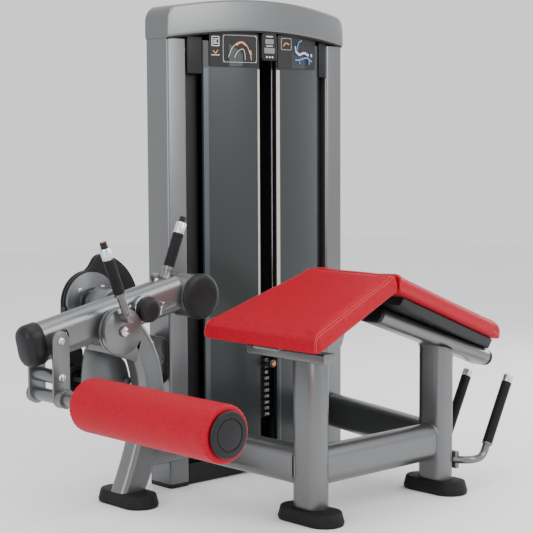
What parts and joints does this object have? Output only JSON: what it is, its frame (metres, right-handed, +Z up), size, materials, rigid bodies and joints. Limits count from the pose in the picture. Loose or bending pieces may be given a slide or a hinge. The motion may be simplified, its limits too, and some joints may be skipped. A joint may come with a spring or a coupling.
{
  "type": "lying leg curl",
  "caption": "Prone leg curl machine: angled two-part bench, lever arm with roller and counterweight, and an arched weight tower driven by a belt.",
  "frame": {"origin": "middle of the machine's footprint, on the floor", "axes": "+X from the roller end towards the head end, +Y from the bench towards the weight tower, +Z up"},
  "size_m": [1.5953, 1.1, 1.6028],
  "materials": {
    "silver_paint": "metallic silver powder coat, satin",
    "aluminium": "polished",
    "black_rubber": "matt, fine texture",
    "red_vinyl": "satin grained vinyl with double light stitching",
    "dark_plastic": "moulded, satin",
    "chrome": "polished",
    "plate_steel": "black powder coat, satin",
    "smoked_shroud": "smoked, semi-gloss",
    "orange_plastic": "gloss",
    "belt_rubber": "matt, ribbed"
  },
  "bodies": {
    "frame": {"front_post": "silver_paint", "head_post": "silver_paint", "bench_rail": "silver_paint", "tower_rail": "silver_paint", "tower_brace": "silver_paint", "side_leg": "silver_paint", "thigh_pad_bracket": "silver_paint", "pad_support_tube": "silver_paint", "head_handle_bar": "silver_paint", "left_column": "silver_paint", "right_column": "silver_paint", "tower_cap": "silver_paint", "column_pulley_hanger": "silver_paint", "idler_plate": "silver_paint", "shaft_bush": "aluminium", "stop_bumper": "black_rubber", "front_foot": "black_rubber", "head_foot": "black_rubber", "side_foot": "black_rubber", "head_grip_near": "black_rubber", "head_grip_far": "black_rubber", "thigh_pad": "red_vinyl", "chest_pad": "red_vinyl", "chest_pad_tray": "dark_plastic", "tower_base": "dark_plastic", "rear_shroud": "dark_plastic", "rep_counter": "dark_plastic", "idler_cover": "dark_plastic", "column_pulley_cover": "dark_plastic", "guide_rods": "chrome", "weight_stack": "plate_steel", "front_shroud_left": "smoked_shroud", "front_shroud_right": "smoked_shroud", "drive_belt": "belt_rubber", "stack_belt": "belt_rubber"},
    "lever_arm": {"lever_arm": "silver_paint", "arm_end_cap": "dark_plastic", "counterweight_cap": "dark_plastic", "pivot_shaft": "chrome", "shaft_knob": "dark_plastic", "cam": "dark_plastic", "arm_grip": "black_rubber", "arm_grip_collar": "aluminium"},
    "arm_button": {"arm_button": "dark_plastic"},
    "start_selector": {"start_selector": "silver_paint", "selector_grip": "black_rubber", "selector_collar": "aluminium"},
    "selector_button": {"selector_button": "orange_plastic"},
    "roller_carriage": {"carriage_front_plate": "silver_paint", "carriage_rear_plate": "silver_paint", "roller_axle": "silver_paint"},
    "roller": {"roller_pad": "red_vinyl", "roller_core": "dark_plastic"},
    "weight_lift": {"lifted_plates": "plate_steel"},
    "selector_pin": {"selector_pin": "chrome"},
    "idler_pulley": {"idler_pulley": "dark_plastic"},
    "column_pulley": {"column_pulley": "dark_plastic"},
    "top_pulley_left": {"top_pulley_left": "dark_plastic"},
    "top_pulley_middle": {"top_pulley_middle": "dark_plastic"}
  },
  "joints": [
    {"name": "arm_swing", "type": "hinge", "parent": "frame", "child": "lever_arm", "pos_m": [-0.38581, 0.24498, 0.638], "axis": [0, 1, 0], "range_deg": [0, 105]},
    {"name": "stack_lift", "type": "slide", "parent": "frame", "child": "weight_lift", "axis": [0, 0, 1], "range_m": [0, 0.19], "deforming": ["stack_belt"]},
    {"name": "pin_pull", "type": "slide", "parent": "weight_lift", "child": "selector_pin", "axis": [0, -1, 0], "range_m": [0, 0.06]},
    {"name": "idler_spin", "type": "hinge", "parent": "frame", "child": "idler_pulley", "pos_m": [-0.44881, 0.46998, 0.4], "axis": [0, 1, 0], "range_deg": [0, 290]},
    {"name": "column_pulley_spin", "type": "hinge", "parent": "frame", "child": "column_pulley", "pos_m": [-0.13581, 0.46998, 0.43], "axis": [0, 1, 0], "range_deg": [0, 220]},
    {"name": "top_pulley_left_spin", "type": "hinge", "parent": "frame", "child": "top_pulley_left", "pos_m": [-0.03581, 0.46998, 1.5], "axis": [0, 1, 0], "range_deg": [-220, 0]},
    {"name": "top_pulley_middle_spin", "type": "hinge", "parent": "frame", "child": "top_pulley_middle", "pos_m": [0.24419, 0.46998, 1.5], "axis": [0, 1, 0], "range_deg": [-220, 0]},
    {"name": "selector_turn", "type": "hinge", "parent": "lever_arm", "child": "start_selector", "pos_m": [-0.48319, 0.17598, 0.58152], "axis": [0, 1, 0], "range_deg": [-60, 0]},
    {"name": "selector_button_press", "type": "slide", "parent": "start_selector", "child": "selector_button", "axis": [0.3569, 0, -0.9341], "range_m": [0, 0.006], "stiffness_N_per_m": 600, "springref_m": -0.002},
    {"name": "arm_button_press", "type": "slide", "parent": "lever_arm", "child": "arm_button", "axis": [-0.3714, 0, -0.9285], "range_m": [0, 0.006], "stiffness_N_per_m": 600, "springref_m": -0.002},
    {"name": "carriage_tilt", "type": "hinge", "parent": "lever_arm", "child": "roller_carriage", "pos_m": [-0.69686, 0.24498, 0.57188], "axis": [0, 1, 0], "range_deg": [-30, 20]},
    {"name": "roller_spin", "type": "hinge", "parent": "roller_carriage", "child": "roller", "pos_m": [-0.69681, -0.18502, 0.407], "axis": [0, 1, 0], "continuous": true}
  ],
  "couplings": [
    {"joint": "stack_lift", "follows": "arm_swing", "m_per_rad": 0.0998},
    {"joint": "idler_spin", "follows": "arm_swing", "ratio": 2.712},
    {"joint": "column_pulley_spin", "follows": "arm_swing", "ratio": 2.0451},
    {"joint": "top_pulley_left_spin", "follows": "arm_swing", "ratio": -2.0451},
    {"joint": "top_pulley_middle_spin", "follows": "arm_swing", "ratio": -2.0451}
  ]
}
